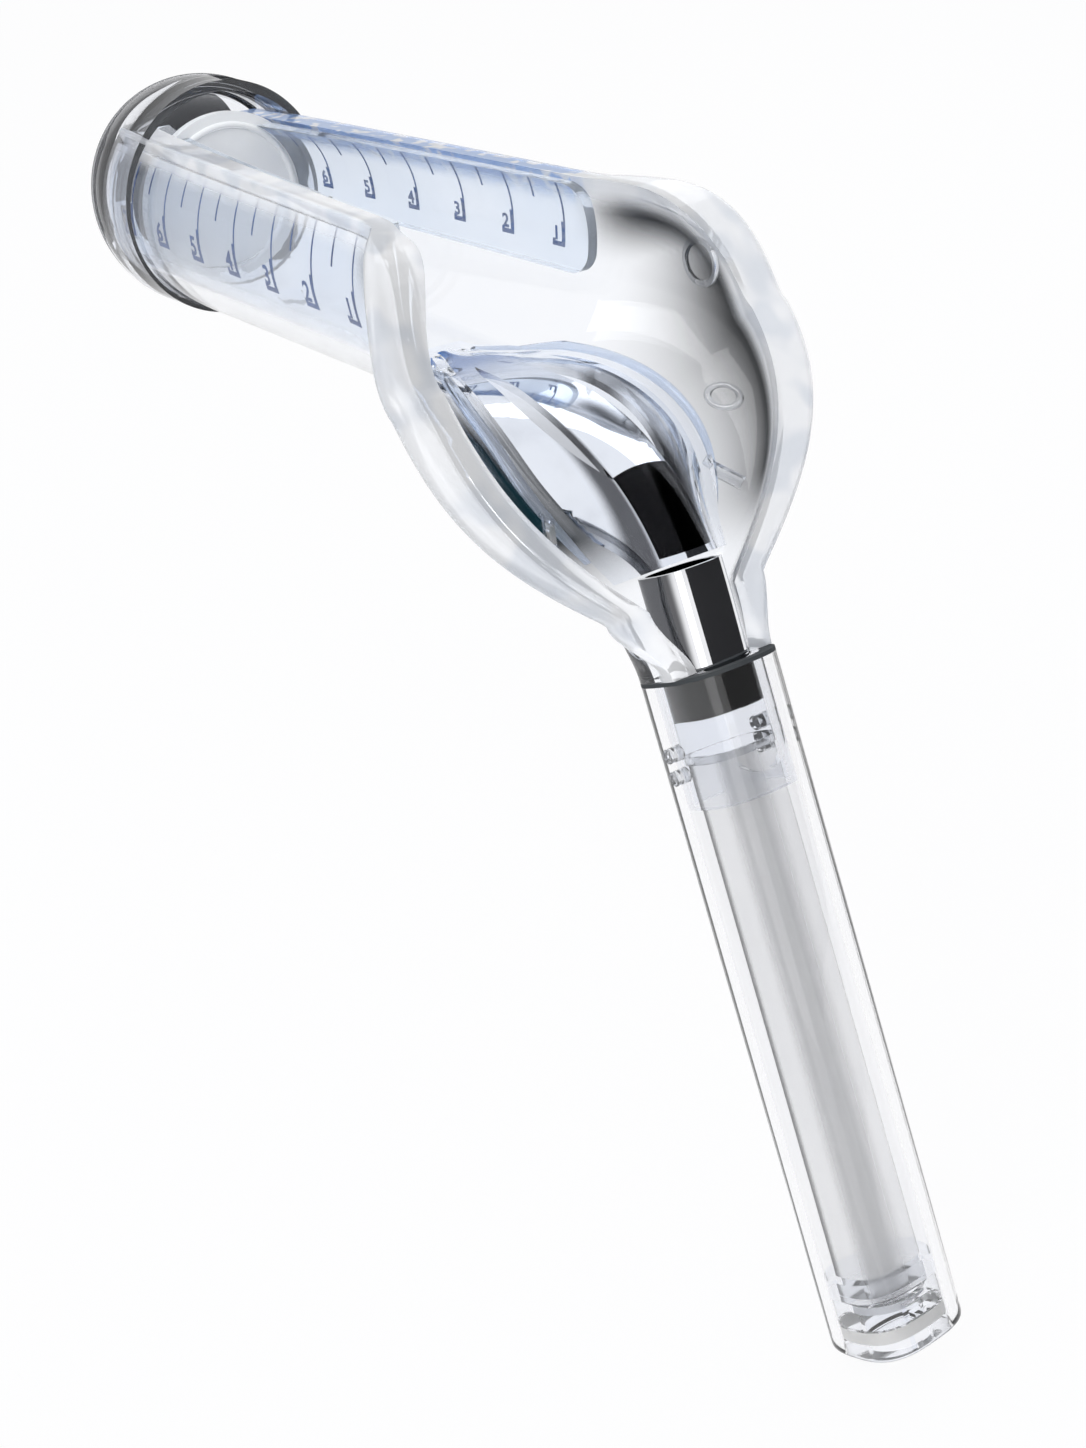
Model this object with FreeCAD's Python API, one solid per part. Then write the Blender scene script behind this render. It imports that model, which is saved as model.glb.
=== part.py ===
import FreeCAD, Part
import math
import os

os.makedirs("parts", exist_ok=True)
V = FreeCAD.Vector

# Clear proctoscope with a slotted barrel, a spoon mouth and a light-guiding grip.
# Millimetres and degrees. The origin is where the grip's axis meets the barrel's axis,
# the nose points to -X, the window to +Z, and the part is alike on both sides of y = 0.

# Barrel and window
barrel_nose_half_width = 14.9
barrel_nose_depth = 14.5
barrel_mouth_half_width = 18.2
barrel_mouth_depth = 17.8
barrel_floor = -15.25
barrel_nose_x = -92.0
bend_start_x = -20.0
window_height = 9.9
shell_wall = 2.2
barrel_spans = 4

# Bell and mouth
mouth_half_width = 24.8
mouth_depth = 15.9
mouth_turn = 25.4
flare_start = 0.1
flare_growth = 0.85
flare_tail = 0.94
flare_tail_growth = 1.1
rim_drop_start = 0.25
rim_drop_growth = 1.25
throat_rim = 7.7
lip_reach = 2.7
lip_height = 3.0
lip_round = 1.7
lip_onset = 1.8
lip_throat_share = 0.55
lip_end_reach = 0.05
lip_end_height = 1.6
lip_end_round = 0.12
flare_lead = 6.0

# Grip
grip_lean = 23.5
neck_reach = 40.9
grip_half_width = 7.55
grip_half_depth = 6.85
grip_squareness = 2.85
oval = 2.0
throat_squareness = 0.8
grip_length = 84.65
grip_wall = 1.5
grip_end_round = 1.1
collar_rim = 9.9
seal_thickness = 0.5
fit = 0.05
spigot_wall = 1.1
spigot_length = 15.5
bore_step = 0.1
slot_bottom = 13.0
slot_half_width = 3.6

# Nose
nose_radius = 16.16
nose_centre_x = -90.65
nose_wall = 2.6
nose_skirt_radius = 16.1
nose_skirt_x = -84.2

# Sliding scale
running_gap = 0.3
slide_thickness = 1.4
slide_nose_x = -94.0
slide_mouth_x = -21.0
slide_top = 9.3
slide_low_near = -7.5
slide_low_far = -2.0
slide_end_round = 2.5
yoke_width = 3.0
yoke_thickness = 2.6
slide_travel = 20.0
disc_x = -84.6
disc_thickness = 1.6
disc_ring_radius = 11.0
disc_ring_wire = 0.45
key_width = 2.0
key_height = 1.2
stop_radius = 2.0
stop_height = 1.4

# Reflector
reflector_tip_x = -33.5
reflector_end_turn = 60.0
reflector_half_width = 10.8
reflector_end_half_width = 4.8
reflector_widest = 0.65
reflector_tip_half_width = 0.8
reflector_tip_height = 3.6
reflector_end_height = 11.0
reflector_rise_power = 1.75
reflector_thickness = 1.0
reflector_stations = 12
foot_cut = 3.0
foot_gap = 0.2
edge_cut = 0.5
slot_cut_turn = 35.0
rib_half_width = 3.9
slot_reach = 6.6
slot_tip_half_width = 1.6
slot_tip_x = -27.0
slot_end_turn = 42.0
cover_gap = 0.3
cover_thickness = 0.9
cover_margin = 2.2
shank_rise = 11.6
shank_drop = 5.3
shank_wall = 0.8
shank_gap = 0.1
clip_turn = 41.0
clip_far_turn = 49.0
clip_reach = 12.4
clip_far_reach = 15.2
clip_width = 1.3
clip_height = 1.1
clip_lift = 0.3

# Ports, studs and the light path
port_turn = 14.4
port_height = 17.3
port_radius = 3.2
stud_radius = 0.9
stud_first = 8.7
stud_pitch = 2.7
stud_back = 2.0
lens_length = 4.2
ferrule_length = 0.9
ferrule_wall = 0.7
guide_half_width = 4.6
guide_half_depth = 3.9
guide_end_gap = 0.25
seat_height = 2.4
insert_length = 7.2
socket_radius = 3.4
socket_depth = 5.0
light_way_radius = 2.4
seal_pocket_radius = 4.1
socket_seal_bore = 3.2
socket_seal_height = 1.0
band_height = 1.6
band_drop = 2.0
band_depth = 0.5
catch_slot_width = 1.3
catch_slot_depth = 1.0
catch_slot_reach = 4.0
catch_slot_drop = 1.4
catch_channel_width = 0.9

oval_points = 24

# Places that follow from the sizes
lean = math.radians(grip_lean)
grip_axis = V(math.sin(lean), 0, -math.cos(lean))
grip_front = V(math.cos(lean), 0, math.sin(lean))
bend_turn = 90.0 - grip_lean
collar = grip_axis * neck_reach
neck_back = collar - grip_front * grip_half_depth
bend_radius = ((neck_back - V(bend_start_x, 0, barrel_floor)).dot(grip_front)
               / (1.0 - grip_front.z))
bend_centre = V(bend_start_x, 0, barrel_floor - bend_radius)
stop_x = slide_nose_x + yoke_width + slide_travel + running_gap + stop_radius
key_top = barrel_floor + shell_wall + key_height
neck_straight = (neck_back - bend_centre).dot(grip_axis)
neck_wall = grip_wall + fit + spigot_wall
lens_start = shank_drop + shank_gap
ferrule_start = lens_start + lens_length
guide_start = ferrule_start + ferrule_length
guide_end = grip_length - insert_length - guide_end_gap
socket_top = grip_length - socket_depth
bore_half_width = grip_half_width - grip_wall
bore_half_depth = grip_half_depth - grip_wall
spigot_bore_half_width = grip_half_width - neck_wall
spigot_bore_half_depth = grip_half_depth - neck_wall


def power(value, exponent):
    return math.copysign(abs(value) ** exponent, value)


def barrel_sizes(x):
    """Half width and depth of the barrel's outside, an ellipse that stands on its floor."""
    share = (x - barrel_nose_x) / (bend_start_x - barrel_nose_x)
    half_width = barrel_nose_half_width + share * (barrel_mouth_half_width - barrel_nose_half_width)
    depth = barrel_nose_depth + share * (barrel_mouth_depth - barrel_nose_depth)
    return half_width, depth


def barrel_centre(x):
    return V(x, 0, barrel_floor + barrel_sizes(x)[1])


def on_grip(down, side, front):
    """Point at a distance below the collar, to one side, and towards the front."""
    return collar + grip_axis * down + V(0, side, 0) + grip_front * front


class Station:
    """Cross-section of the trough: a floor point, an up direction and its sizes."""

    def __init__(self, floor, up, half_width, depth, rim, squareness, wall, swell=0.0):
        self.floor = floor
        self.up = up
        self.half_width = half_width
        self.depth = depth
        self.rim = rim
        self.squareness = squareness
        self.wall = wall
        self.lip_reach = lip_end_reach + swell * (lip_reach - lip_end_reach)
        self.lip_height = lip_end_height + swell * (lip_height - lip_end_height)
        self.lip_round = lip_end_round + swell * (lip_round - lip_end_round)

    def point(self, side, height):
        return self.floor + V(0, side, 0) + self.up * height

    def side_at(self, height, inset=0.0):
        """How far out the wall's surface stands at a height."""
        lift = abs(height - self.depth) / (self.depth - inset)
        share = max(1.0 - lift ** self.squareness, 0.0)
        return (self.half_width - inset) * share ** (1.0 / self.squareness)

    def floor_height(self, side, inset):
        """Height of the wall's surface, inset from the outside, at a side distance."""
        share = 1.0 - (abs(side) / (self.half_width - inset)) ** self.squareness
        return self.depth - (self.depth - inset) * share ** (1.0 / self.squareness)

    def curve(self, inset, top, count=17):
        """Open curve from the near side, under the floor, to the far side, as high as top."""
        wide = self.half_width - inset
        deep = self.depth - inset
        lift = (top - self.depth) / deep
        start = math.acos(power(lift, self.squareness / 2.0))
        points = []
        for i in range(count):
            angle = start + (2.0 * math.pi - 2.0 * start) * i / (count - 1)
            side = -wide * power(math.sin(angle), 2.0 / self.squareness)
            height = self.depth + deep * power(math.cos(angle), 2.0 / self.squareness)
            points.append(self.point(side, height))
        line = Part.BSplineCurve()
        line.interpolate(points)
        return line.toShape(), points[0], points[-1]

    def section(self):
        """Closed trough section: its wall, and the lip that stands out from each rim."""
        low = self.rim - self.lip_height
        middle = self.rim - self.lip_height / 2
        outer, near_foot, far_foot = self.curve(0.0, low)
        inner, near_rim, far_rim = self.curve(self.wall, self.rim)
        edges = [outer]
        for side, foot, rim in ((1, far_foot, far_rim), (-1, near_foot, near_rim)):
            under = self.point(side * (self.side_at(low) + self.lip_reach), low)
            out = self.side_at(middle) + self.lip_reach + self.lip_round
            tip = self.point(side * out, middle)
            over = self.point(side * (self.side_at(self.rim) + self.lip_reach), self.rim)
            land = [Part.makeLine(foot, under), Part.Arc(under, tip, over).toShape(),
                    Part.makeLine(over, rim)]
            edges += land if side > 0 else [inner] + land[::-1]
        return Part.Wire(edges)


def barrel_station(x):
    half_width, depth = barrel_sizes(x)
    flare = 0.0
    if x > bend_start_x - flare_lead:
        flare = flare_start * (1.0 - (bend_start_x - x) / flare_lead) ** 2
    width = half_width + flare * (mouth_half_width - barrel_mouth_half_width)
    return Station(V(x, 0, barrel_floor), V(0, 0, 1), width, depth,
                   window_height - barrel_floor, oval, shell_wall)


def entry_station(share):
    """From the end of the barrel, at 0, to the widest place of the mouth, at 1."""
    flare = flare_start + (1.0 - flare_start) * math.sin(math.pi / 2 * share ** flare_growth)
    ease = max((share - rim_drop_start) / (1.0 - rim_drop_start), 0.0) ** rim_drop_growth
    drop = ease * ease * (3.0 - 2.0 * ease)
    window_rim = window_height - barrel_floor
    width = barrel_mouth_half_width + flare * (mouth_half_width - barrel_mouth_half_width)
    depth = barrel_mouth_depth + share * (mouth_depth - barrel_mouth_depth)
    rim = window_rim + drop * (mouth_depth - window_rim)
    swell = math.sin(math.pi / 2 * min(share * lip_onset, 1.0))
    return bend_station(mouth_turn * share, width, depth, rim, oval, shell_wall, swell)


def exit_station(share):
    """From the widest place of the mouth, at 0, to the end of the bend, at 1."""
    flare = math.cos(math.pi / 2 * flare_tail * share ** flare_tail_growth)
    close = math.sin(math.pi / 2 * share)
    width = grip_half_width + flare * (mouth_half_width - grip_half_width)
    depth = mouth_depth + close * (grip_half_depth - mouth_depth)
    rim = mouth_depth + close * (throat_rim - mouth_depth)
    squareness = oval + (grip_squareness - oval) * throat_squareness * share ** 2
    wall = shell_wall + share * (neck_wall - shell_wall)
    turn = mouth_turn + share * (bend_turn - mouth_turn)
    swell = 1.0 - (1.0 - lip_throat_share) * share ** 2
    return bend_station(turn, width, depth, rim, squareness, wall, swell)


def bend_station(turn, width, depth, rim, squareness, wall, swell):
    angle = math.radians(turn)
    up = V(math.sin(angle), 0, math.cos(angle))
    floor = bend_centre + up * bend_radius
    return Station(floor, up, width, depth, rim, squareness, wall, swell)


def neck_station(share):
    """From the end of the bend, at 0, to the collar, at 1."""
    last = exit_station(1.0)
    ease = share * share * (3.0 - 2.0 * share)
    width = last.half_width + ease * (grip_half_width - last.half_width)
    rim = last.rim + ease * (collar_rim - last.rim)
    squareness = last.squareness + share * (grip_squareness - last.squareness)
    floor = neck_back - grip_axis * neck_straight * (1.0 - share)
    swell = lip_throat_share * (1.0 - ease)
    return Station(floor, grip_front, width, grip_half_depth, rim, squareness, neck_wall, swell)


def bell_station(turn):
    """Station of the bend at a turn, whichever side of the widest place it is on."""
    if turn < mouth_turn:
        return entry_station(turn / mouth_turn)
    return exit_station((turn - mouth_turn) / (bend_turn - mouth_turn))


def loft(wires):
    return Part.makeLoft(wires, True, False, False, 3)


def bell_stations():
    stations = [barrel_station(bend_start_x - flare_lead),
                barrel_station(bend_start_x - flare_lead / 2)]
    stations += [entry_station(share) for share in (0.0, 0.2, 0.4, 0.6, 0.8)]
    stations += [exit_station(share) for share in (0.0, 0.2, 0.4, 0.6, 0.8, 1.0)]
    stations += [neck_station(share) for share in (0.5, 1.0)]
    return stations


def grip_outline(down, half_width, half_depth, count=oval_points):
    """Closed rounded-rectangle wire across the grip."""
    points = []
    for i in range(count):
        angle = 2.0 * math.pi * i / count
        side = half_width * power(math.cos(angle), 2.0 / grip_squareness)
        front = half_depth * power(math.sin(angle), 2.0 / grip_squareness)
        points.append(on_grip(down, side, front))
    line = Part.BSplineCurve()
    line.interpolate(points, PeriodicFlag=True)
    return Part.Wire(line.toShape())


def grip_block(top, bottom, half_width, half_depth):
    face = Part.Face(grip_outline(top, half_width, half_depth))
    return face.extrude(grip_axis * (bottom - top))


def grip_ring(top, bottom, outer, inner):
    return grip_block(top, bottom, *outer).cut(
        grip_block(top - 1.0, bottom + 1.0, *inner))


def barrel_core(start, end, inset):
    """Solid along the barrel, inset from its outside."""
    wires = []
    for x in (start, end):
        half_width, depth = barrel_sizes(x)
        points = []
        for i in range(oval_points):
            angle = 2.0 * math.pi * i / oval_points
            points.append(barrel_centre(x) + V(0, (half_width - inset) * math.sin(angle),
                                               (depth - inset) * math.cos(angle)))
        line = Part.BSplineCurve()
        line.interpolate(points, PeriodicFlag=True)
        wires.append(Part.Wire(line.toShape()))
    return Part.makeLoft(wires, True, True)


def slab(low_x, high_x, low_z, high_z):
    half_width = 2.0 * mouth_half_width
    return Part.makeBox(high_x - low_x, 2.0 * half_width, high_z - low_z,
                        V(low_x, -half_width, low_z))


def barrel_shell():
    length = bend_start_x - flare_lead - barrel_nose_x
    places = [barrel_nose_x + length * i / barrel_spans for i in range(barrel_spans + 1)]
    shell = loft([barrel_station(x).section() for x in places])
    foot = barrel_floor + shell_wall / 2
    key = Part.makeBox(stop_x - barrel_nose_x, key_width, key_top - foot,
                       V(barrel_nose_x, -key_width / 2, foot))
    return shell.fuse(key)


def spigot():
    """Reach of the neck into the grip, open at the front down to a round slot end."""
    outer = (bore_half_width - fit, bore_half_depth - fit)
    inner = (spigot_bore_half_width + bore_step, spigot_bore_half_depth + bore_step)
    ring = grip_ring(0.0, spigot_length, outer, inner)
    front = grip_half_depth
    straight = slot_bottom - slot_half_width
    corners = [on_grip(-1.0, -slot_half_width, 0), on_grip(-1.0, slot_half_width, 0),
               on_grip(straight, slot_half_width, 0)]
    end = on_grip(straight, -slot_half_width, 0)
    round_end = Part.Arc(corners[2], on_grip(slot_bottom, 0, 0), end).toShape()
    outline = Part.Wire([Part.makeLine(corners[0], corners[1]),
                         Part.makeLine(corners[1], corners[2]),
                         round_end, Part.makeLine(end, corners[0])])
    return ring.cut(Part.Face(outline).extrude(grip_front * front))


def stud_places():
    return [(down, side) for down in (stud_first, stud_first + stud_pitch) for side in (-1, 1)]


def stud_pegs(radius, inner, outer):
    pegs = []
    for down, side in stud_places():
        start = on_grip(down, side * inner, -stud_back)
        pegs.append(Part.makeCylinder(radius, outer - inner, start, V(0, side, 0)))
    return pegs


def stud_holes():
    """Cutters for the studs' holes in the sides of the grip and the neck's reach."""
    return stud_pegs(stud_radius + fit, spigot_bore_half_width / 2, grip_half_width + 1.0)


def port_cylinder(radius):
    station = bell_station(port_turn)
    start = station.point(0.0, port_height)
    return Part.makeCylinder(radius, mouth_half_width, start, V(0, 1, 0))


def stop_peg(radius, low, high):
    return Part.makeCylinder(radius, high - low, V(stop_x, 0, low), V(0, 0, 1))


def speculum_shell():
    bell = loft([station.section() for station in bell_stations()])
    return barrel_shell().fuse([bell])


def speculum_body(shell):
    body = shell.fuse([spigot()])
    body = body.cut([port_cylinder(port_radius + fit),
                     stop_peg(stop_radius + fit, barrel_floor - 1.0, 0.0)])
    return body.cut(stud_holes())


def stop_peg_solid():
    return stop_peg(stop_radius, barrel_floor + fit, barrel_floor + shell_wall + stop_height)


def revolve(edges):
    """Solid of revolution about the barrel's axis from a closed profile in the XZ plane."""
    return Part.Face(Part.Wire(edges)).revolve(V(0, 0, 0), V(1, 0, 0), 360)


def nose_bulb():
    tip = V(nose_centre_x - nose_radius, 0, 0)
    skirt_join_x = nose_centre_x + math.sqrt(nose_radius ** 2 - nose_skirt_radius ** 2)
    skirt_join = V(skirt_join_x, 0, nose_skirt_radius)
    crown = V(nose_centre_x, 0, nose_radius)
    skirt_end = V(nose_skirt_x, 0, nose_skirt_radius)
    profile = [Part.Arc(tip, crown, skirt_join).toShape(),
               Part.makeLine(skirt_join, skirt_end),
               Part.makeLine(skirt_end, V(nose_skirt_x, 0, 0)),
               Part.makeLine(V(nose_skirt_x, 0, 0), tip)]
    bulb = revolve(profile)
    clearance = lip_end_reach + lip_end_round + fit
    socket = barrel_core(barrel_nose_x, nose_skirt_x + 1.0, -clearance)
    hollow = Part.makeSphere(nose_radius - nose_wall, V(nose_centre_x, 0, 0))
    hollow = hollow.common(slab(tip.x, barrel_nose_x + fit, -nose_radius, nose_radius))
    return bulb.cut([socket, hollow])


def slide_shell(start, end, thickness):
    outer = shell_wall + running_gap
    return barrel_core(start, end, outer).cut(barrel_core(start, end, outer + thickness))


def floor_notch(start, end, width, top):
    """Cutter that clears a thing on the barrel's floor, up to a height."""
    return Part.makeBox(end - start, width, top - barrel_floor,
                        V(start, -width / 2, barrel_floor))


def slide_arm(side, low):
    """Side plate from a low edge up to the window, with rounded corners at its mouth end."""
    plate = slide_shell(slide_nose_x, slide_mouth_x, slide_thickness)
    reach = 2.0 * mouth_half_width
    outline = Part.makeBox(slide_mouth_x - slide_nose_x, reach, slide_top - low,
                           V(slide_nose_x, min(side * reach, 0), low))
    corners = [edge for edge in outline.Edges
               if abs(edge.CenterOfMass.x - slide_mouth_x) < fit
               and abs(edge.CenterOfMass.y) > fit and abs(edge.Length - reach) < fit]
    return plate.common(outline.makeFillet(slide_end_round, corners))


def graduated_slide():
    yoke = slide_shell(slide_nose_x, slide_nose_x + yoke_width, yoke_thickness)
    yoke = yoke.common(slab(slide_nose_x, slide_nose_x + yoke_width, barrel_floor, 0.0))
    notch = floor_notch(slide_nose_x - 1.0, slide_nose_x + yoke_width + 1.0,
                        key_width + 2.0 * running_gap, key_top + running_gap)
    arms = [slide_arm(-1, slide_low_near), slide_arm(1, slide_low_far)]
    return yoke.fuse(arms).cut(notch)


def end_disc(slide):
    face = disc_x - disc_thickness / 2
    disc = barrel_core(face, face + disc_thickness, shell_wall + running_gap + fit)
    peg_top = barrel_floor + shell_wall + stop_height
    notch = floor_notch(face - 1.0, face + disc_thickness + 1.0,
                        2.0 * (stop_radius + running_gap), peg_top + running_gap)
    return disc.cut([slide, notch])


def disc_ring():
    """Bright wire ring, half round, on the disc's face."""
    face = disc_x + disc_thickness / 2
    ring = Part.makeTorus(disc_ring_radius - disc_ring_wire, disc_ring_wire,
                          barrel_centre(disc_x) + V(disc_thickness / 2, 0, 0), V(1, 0, 0))
    return ring.common(slab(face, face + disc_ring_wire, -nose_radius, nose_radius))


def reflector_frame(share):
    """Station and sizes of the reflector at a share of its length from the tip."""
    flat = bend_start_x - reflector_tip_x
    mean_radius = bend_radius + (reflector_tip_height + reflector_end_height) / 2
    curved = math.radians(reflector_end_turn) * mean_radius
    along = share * (flat + curved)
    if along < flat:
        station = barrel_station(reflector_tip_x + along)
    else:
        station = bell_station(math.degrees((along - flat) / mean_radius))
    if share < reflector_widest:
        width = reflector_half_width * math.sin(math.pi / 2 * share / reflector_widest)
        width = max(width, reflector_tip_half_width)
    else:
        left = (share - reflector_widest) / (1.0 - reflector_widest)
        narrow = reflector_half_width - reflector_end_half_width
        width = reflector_end_half_width + narrow * math.cos(math.pi / 2 * left)
    rise = reflector_end_height - reflector_tip_height
    crown = reflector_tip_height + rise * share ** reflector_rise_power
    return station, width, crown


def arch_wire(station, side, edge, crown, base):
    """Closed section: an arch from side to side over a flat base."""
    left = station.point(-side, edge)
    right = station.point(side, edge)
    low_left = station.point(-side, base)
    low_right = station.point(side, base)
    arch = Part.Arc(left, station.point(0, crown), right).toShape()
    return Part.Wire([arch, Part.makeLine(right, low_right),
                      Part.makeLine(low_right, low_left), Part.makeLine(low_left, left)])


def arch_body(lift, margin, sink):
    """Solid under the reflector's form, raised by lift, wider by margin, sunk at its foot."""
    wires = []
    for i in range(reflector_stations + 1):
        station, width, crown = reflector_frame(i / reflector_stations)
        side = width + margin
        wall = station.floor_height(side, station.wall) + foot_gap
        edge = wall + reflector_thickness + lift
        wires.append(arch_wire(station, side, min(edge, crown + lift - fit), crown + lift,
                               wall - sink))
    return loft(wires)


def reflector_slot(side):
    """Lens-shaped slot between the middle rib and a side rib."""
    angle = math.radians(slot_cut_turn)
    up = V(math.sin(angle), 0, math.cos(angle))
    end_angle = math.radians(slot_end_turn)
    tip = V(slot_tip_x, side * slot_tip_half_width, barrel_floor)
    end = bend_centre + V(math.sin(end_angle), 0, math.cos(end_angle)) * (bend_radius + reflector_end_height)
    end = end + V(0, side * rib_half_width, 0)
    middle = (tip + end) * 0.5
    inner = V(middle.x, side * rib_half_width, middle.z)
    outer = V(middle.x, side * slot_reach, middle.z)
    flat = [point - up * point.dot(up) for point in (tip, inner, end, outer)]
    outline = Part.Wire([Part.Arc(flat[0], flat[1], flat[2]).toShape(),
                         Part.Arc(flat[2], flat[3], flat[0]).toShape()])
    reach = 2.0 * bend_radius
    return Part.Face(outline).extrude(up * reach).fuse(Part.Face(outline).extrude(up * -reach))


def reflector_blade():
    blade = arch_body(0.0, 0.0, 0.0).cut(arch_body(-reflector_thickness, edge_cut, foot_cut))
    return blade.cut([reflector_slot(-1), reflector_slot(1)])


def reflector_cover():
    outside = arch_body(cover_gap + cover_thickness, cover_margin, 0.0)
    return outside.cut(arch_body(cover_gap, cover_gap, foot_cut))


def reflector_shank():
    outer = (spigot_bore_half_width - shank_gap, spigot_bore_half_depth - shank_gap)
    inner = (outer[0] - shank_wall, outer[1] - shank_wall)
    return grip_ring(-shank_rise, shank_drop, outer, inner)


def reflector_clips(shell, cover):
    """Small bars beside the edge of the cover, seated on the wall on each side."""
    clips = []
    for side in (-1, 1):
        ends = []
        for turn, reach in ((clip_turn, clip_reach), (clip_far_turn, clip_far_reach)):
            station = bell_station(turn)
            height = station.floor_height(reach, station.wall)
            ends.append(station.point(side * reach, height))
        along = (ends[1] - ends[0]).normalize()
        across = along.cross(V(0, side, 0)).normalize()
        out = across.cross(along).normalize()
        if out.dot(station.up) < 0:
            out = out * -1.0
        start = ends[0] + out * clip_lift
        corners = [start - across * (clip_width / 2), start + across * (clip_width / 2)]
        corners += [corner + (ends[1] - ends[0]) for corner in corners[::-1]]
        outline = Part.makePolygon(corners + [corners[0]])
        clips.append(Part.Face(outline).extrude(out * clip_height))
    return Part.makeCompound([clip.cut([shell, cover]) for clip in clips])


def port_plug(shell):
    return shell.common(port_cylinder(port_radius))


def handle_tube():
    outer = (grip_half_width, grip_half_depth)
    tube = grip_ring(seal_thickness, grip_length, outer, (bore_half_width, bore_half_depth))
    foot = [edge for edge in tube.Edges
            if abs((edge.CenterOfMass - collar).dot(grip_axis) - grip_length) < 0.01]
    foot.sort(key=lambda edge: edge.Length)
    tube = tube.makeFillet(grip_end_round, [foot[-1]])
    return tube.cut(stud_holes())


def socket_cylinder(radius, top, bottom):
    """Cylinder on the grip's axis between two distances below the collar."""
    return Part.makeCylinder(radius, bottom - top, on_grip(top, 0, 0), grip_axis)


def socket_insert():
    top = grip_length - insert_length
    outer = (bore_half_width - running_gap, bore_half_depth - running_gap)
    block = grip_block(top, grip_length, *outer)
    bore = socket_cylinder(socket_radius, socket_top, grip_length)
    pocket = socket_cylinder(seal_pocket_radius, socket_top - socket_seal_height, socket_top)
    light_way = socket_cylinder(light_way_radius, top, socket_top)
    groove = grip_ring(grip_length - band_drop - band_height, grip_length - band_drop,
                       (outer[0] + 1.0, outer[1] + 1.0),
                       (outer[0] - band_depth, outer[1] - band_depth))
    return block.cut([bore, pocket, light_way, groove] + catch_slot(outer[1]))


def catch_slot(front):
    """Bent slot in the front of the insert: a channel from its foot and a side reach."""
    top = grip_length - insert_length + catch_slot_drop
    side = -catch_slot_reach / 2
    reach = grip_box(top, top + catch_slot_width, side, side + catch_slot_reach, front)
    channel = grip_box(top, grip_length + 1.0, side, side + catch_channel_width, front)
    return [reach, channel]


def grip_box(top, bottom, low_side, high_side, front):
    """Cutter for a slot in the front face of the insert."""
    depth = front - catch_slot_depth
    corners = [on_grip(top, low_side, depth), on_grip(top, high_side, depth),
               on_grip(bottom, high_side, depth), on_grip(bottom, low_side, depth)]
    return Part.Face(Part.makePolygon(corners + [corners[0]])).extrude(grip_front * front)


def insert_band():
    outer = (bore_half_width - running_gap, bore_half_depth - running_gap)
    inner = (outer[0] - band_depth, outer[1] - band_depth)
    return grip_ring(grip_length - band_drop - band_height, grip_length - band_drop, outer, inner)


def socket_seal():
    top = socket_top - socket_seal_height
    ring = socket_cylinder(seal_pocket_radius - fit, top, socket_top)
    return ring.cut(socket_cylinder(socket_seal_bore, top, socket_top))


def main():
    inner = (spigot_bore_half_width - shank_gap, spigot_bore_half_depth - shank_gap)
    rod = (guide_half_width, guide_half_depth)
    shell = speculum_shell()
    slide = graduated_slide()
    cover = reflector_cover()
    nodes = {
        "speculum_body": speculum_body(shell),
        "nose_bulb": nose_bulb(),
        "graduated_slide": slide,
        "end_disc": end_disc(slide),
        "disc_ring": disc_ring(),
        "slide_stop": stop_peg_solid(),
        "reflector_blade": reflector_blade(),
        "reflector_cover": cover,
        "reflector_shank": reflector_shank(),
        "reflector_clips": reflector_clips(shell, cover),
        "port_plug": port_plug(shell),
        "collar_seal": grip_ring(0.0, seal_thickness, (grip_half_width, grip_half_depth),
                                 (bore_half_width, bore_half_depth)),
        "handle_tube": handle_tube(),
        "retaining_studs": Part.makeCompound(
            stud_pegs(stud_radius, spigot_bore_half_width + fit, grip_half_width)),
        "guide_lens": grip_block(lens_start, ferrule_start, *inner),
        "guide_ferrule": grip_ring(ferrule_start, guide_start, inner,
                                   (inner[0] - ferrule_wall, inner[1] - ferrule_wall)),
        "light_guide_rod": grip_block(guide_start, guide_end, *rod),
        "guide_seat": grip_ring(guide_end - seat_height, guide_end,
                                (bore_half_width - fit, bore_half_depth - fit),
                                (rod[0] + fit, rod[1] + fit)),
        "socket_insert": socket_insert(),
        "insert_band": insert_band(),
        "socket_seal": socket_seal(),
    }
    for name, shape in nodes.items():
        shape.exportStep("parts/" + name + ".step")
        print(name, len(shape.Solids), shape.isValid(), round(shape.Volume, 2))


main()
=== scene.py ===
import math

import bmesh
import bpy
from mathutils import Matrix, Vector


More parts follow.
